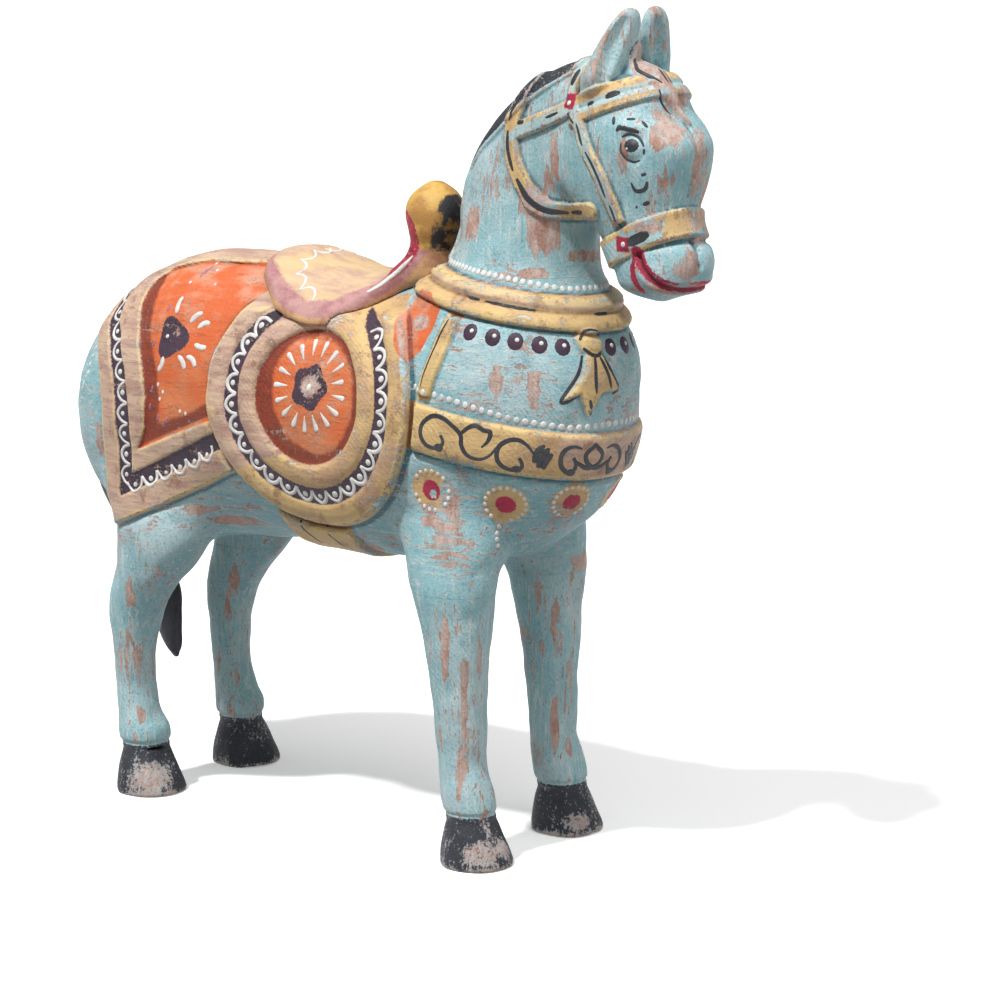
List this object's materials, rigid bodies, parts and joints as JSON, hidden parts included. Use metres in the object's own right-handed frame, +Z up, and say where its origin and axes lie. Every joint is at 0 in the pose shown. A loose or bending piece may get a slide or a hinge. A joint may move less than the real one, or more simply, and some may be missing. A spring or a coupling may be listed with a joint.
{
  "type": "carved wooden horse figurine",
  "caption": "Standing carved and painted wooden horse with a tucked head, bridle, collar, saddle with a round pommel, and a patterned saddle cloth.",
  "frame": {"origin": "on the floor, at the middle of the footprint box of the whole horse", "axes": "the horse faces +X, +Z is up, its right side is at -Y"},
  "size_m": [0.4518, 0.1312, 0.462],
  "materials": {
    "painted_wood": "worn matt turquoise paint with gold, orange, purple and white decoration over bare wood",
    "saddle_paint": "worn gold and magenta paint over bare wood",
    "black_paint": "worn matt black paint over bare wood",
    "dowel_wood": "bare hardwood"
  },
  "bodies": {
    "root": {"body_block": "painted_wood", "neck_and_head": "painted_wood", "front_leg_right": "painted_wood", "front_leg_left": "painted_wood", "hind_leg_right": "painted_wood", "hind_leg_left": "painted_wood", "tail": "black_paint", "saddle": "saddle_paint", "dowel_front_leg_right": "dowel_wood", "dowel_front_leg_left": "dowel_wood", "dowel_hind_leg_right": "dowel_wood", "dowel_hind_leg_left": "dowel_wood", "dowel_neck_rear": "dowel_wood", "dowel_neck_front": "dowel_wood", "dowel_saddle_rear": "dowel_wood", "dowel_saddle_front": "dowel_wood", "dowel_tail": "dowel_wood"}
  },
  "joints": []
}
